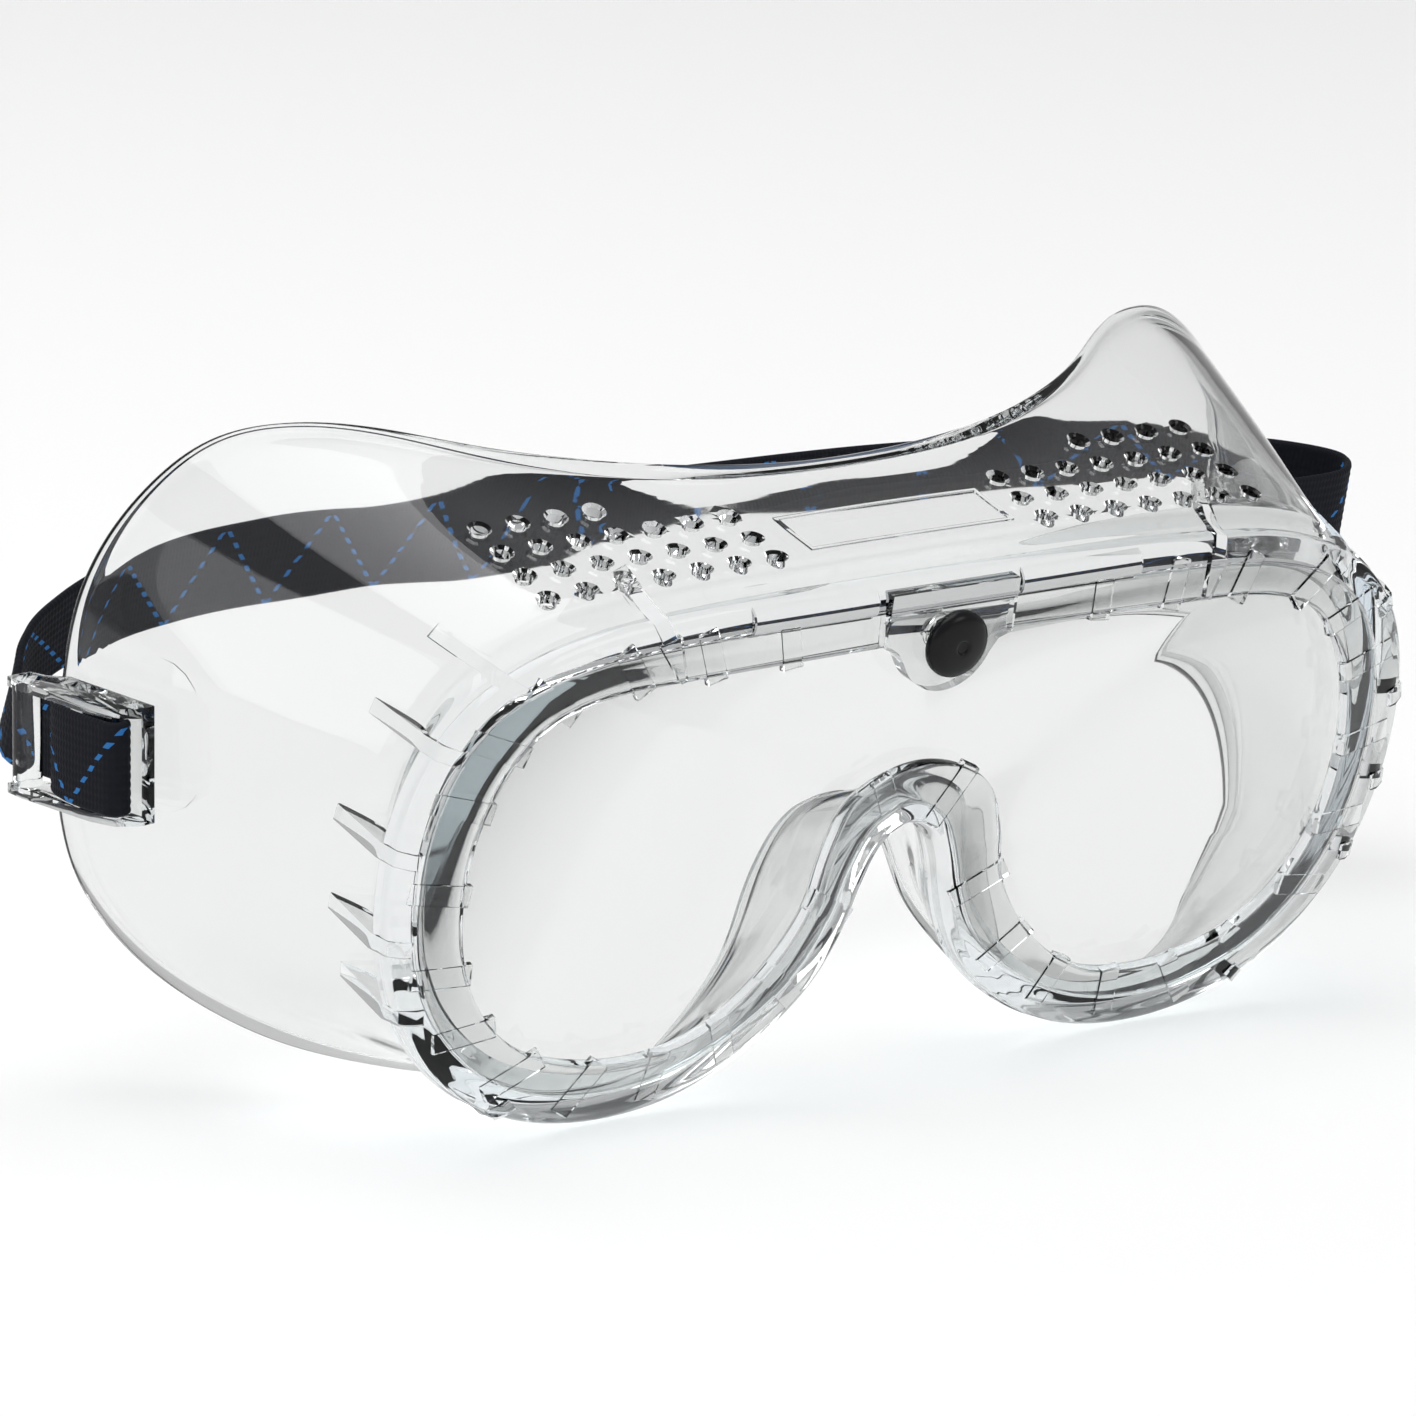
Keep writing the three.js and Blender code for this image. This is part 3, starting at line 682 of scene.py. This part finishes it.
def on_route(place):
    """The strap's centre line and its way up, by a smooth curve through the route's points."""
    i = min(int(place), len(route) - 2)
    w = place - i
    around = [route[max(0, min(len(route) - 1, i + k))] for k in (-1, 0, 1, 2)]
    p0, p1, p2, p3 = [p for p, up in around]
    d0, d1, d2 = [max(0.001, math.sqrt((b - a).length)) for a, b in ((p0, p1), (p1, p2), (p2, p3))]
    leave = ((p1 - p0) / d0 - (p2 - p0) / (d0 + d1) + (p2 - p1) / d1) * d1
    arrive = ((p2 - p1) / d1 - (p3 - p1) / (d1 + d2) + (p3 - p2) / d2) * d1
    bend = (p2 - p1) * 3 - leave * 2 - arrive
    centre = p1 + leave * w + bend * w ** 2 + ((p1 - p2) * 2 + leave + arrive) * w ** 3
    return centre, around[1][1].lerp(around[2][1], w).normalized()


strap_step = 0.75
fine = 24
stops = [on_route(i / fine) for i in range(fine * (len(route) - 1) + 1)]
even = [stops[0]]
for stop in stops[1:]:
    if (stop[0] - even[-1][0]).length > strap_step:
        even.append(stop)
cords = 11
cord_height = 0.13
across_steps = 4 * cords
strap_points = []
run = [0.0]
for i, (centre, up) in enumerate(even):
    before = even[max(0, i - 1)][0]
    after = even[min(len(even) - 1, i + 1)][0]
    along = (after - before).normalized()
    face = along.cross(up).normalized()
    rise = face.cross(along)
    if i > 0:
        run.append(run[-1] + (centre - even[i - 1][0]).length)
    for way in (1, -1):
        for k in range(across_steps + 1):
            t = way * (k / across_steps * 2 - 1)
            cord = cord_height * abs(math.sin(math.pi * cords * (t + 1) / 2))
            half = strap_thick / 2 - 0.1 + cord
            half *= min(1.0, 3.2 * math.sqrt(max(0.0, 1 - abs(t))) + 0.25)
            strap_points.append(centre + rise * (t * strap_width / 2) + face * (way * half))
ring_size = 2 * (across_steps + 1)
strap_faces = []
for i in range(len(even) - 1):
    for k in range(ring_size):
        m = (k + 1) % ring_size
        a = i * ring_size
        strap_faces.append((a + k, a + m, a + ring_size + m, a + ring_size + k))
last_ring = (len(even) - 1) * ring_size
for k in range(across_steps):
    far = ring_size - 1 - k
    strap_faces.append((k, far, far - 1, k + 1))
    strap_faces.append((last_ring + k, last_ring + k + 1, last_ring + far - 1, last_ring + far))
band = new_object("strap_band", mesh_of("strap_band", strap_points, strap_faces))
grid = band.data.uv_layers.new(name="weave")
for loop in band.data.loops:
    i, k = divmod(loop.vertex_index, ring_size)
    across = k if k <= across_steps else ring_size - 1 - k
    grid.data[loop.index].uv = (run[i], across * strap_width / across_steps)
band.data.transform(to_rest)
band.data.shade_smooth()

woven, nodes, links, surface = shader_nodes("woven_elastic")
surface.inputs["Roughness"].default_value = 0.8
surface.inputs["Specular IOR Level"].default_value = 0.15


def maths(kind, a, b=0.0):
    node = nodes.new("ShaderNodeMath")
    node.operation = kind
    for slot, value in enumerate((a, b)):
        if isinstance(value, (int, float)):
            node.inputs[slot].default_value = value
        else:
            links.new(value, node.inputs[slot])
    return node.outputs[0]


weave = nodes.new("ShaderNodeUVMap")
weave.uv_map = "weave"
split = nodes.new("ShaderNodeSeparateXYZ")
links.new(weave.outputs["UV"], split.inputs[0])
lengthwise = split.outputs["X"]
crosswise = split.outputs["Y"]
zigzag = 20.0
swing = maths("PINGPONG", lengthwise, zigzag / 2)
target = maths("MULTIPLY", crosswise, zigzag / 2 / strap_width)
off_line = maths("ABSOLUTE", maths("SUBTRACT", swing, target))
on_thread = maths("LESS_THAN", off_line, 0.42)
dot = maths("LESS_THAN", maths("MODULO", crosswise, 1.9), 0.9)
stitch = maths("MULTIPLY", on_thread, dot)
colour = nodes.new("ShaderNodeMix")
colour.data_type = "RGBA"
links.new(stitch, colour.inputs[0])
colour.inputs[6].default_value = (0.007, 0.008, 0.012, 1.0)
colour.inputs[7].default_value = (0.03, 0.16, 0.42, 1.0)
links.new(colour.outputs[2], surface.inputs["Base Color"])
threads = nodes.new("ShaderNodeTexWave")
threads.wave_type = "BANDS"
threads.bands_direction = "X"
threads.inputs["Scale"].default_value = 0.45
threads.inputs["Distortion"].default_value = 1.2
links.new(weave.outputs["UV"], threads.inputs["Vector"])
knurl = nodes.new("ShaderNodeBump")
knurl.inputs["Strength"].default_value = 0.25
knurl.inputs["Distance"].default_value = 0.0002
links.new(threads.outputs["Fac"], knurl.inputs["Height"])
links.new(knurl.outputs["Normal"], surface.inputs["Normal"])
band.data.materials.append(woven)
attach(band, "headband")
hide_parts("strap")
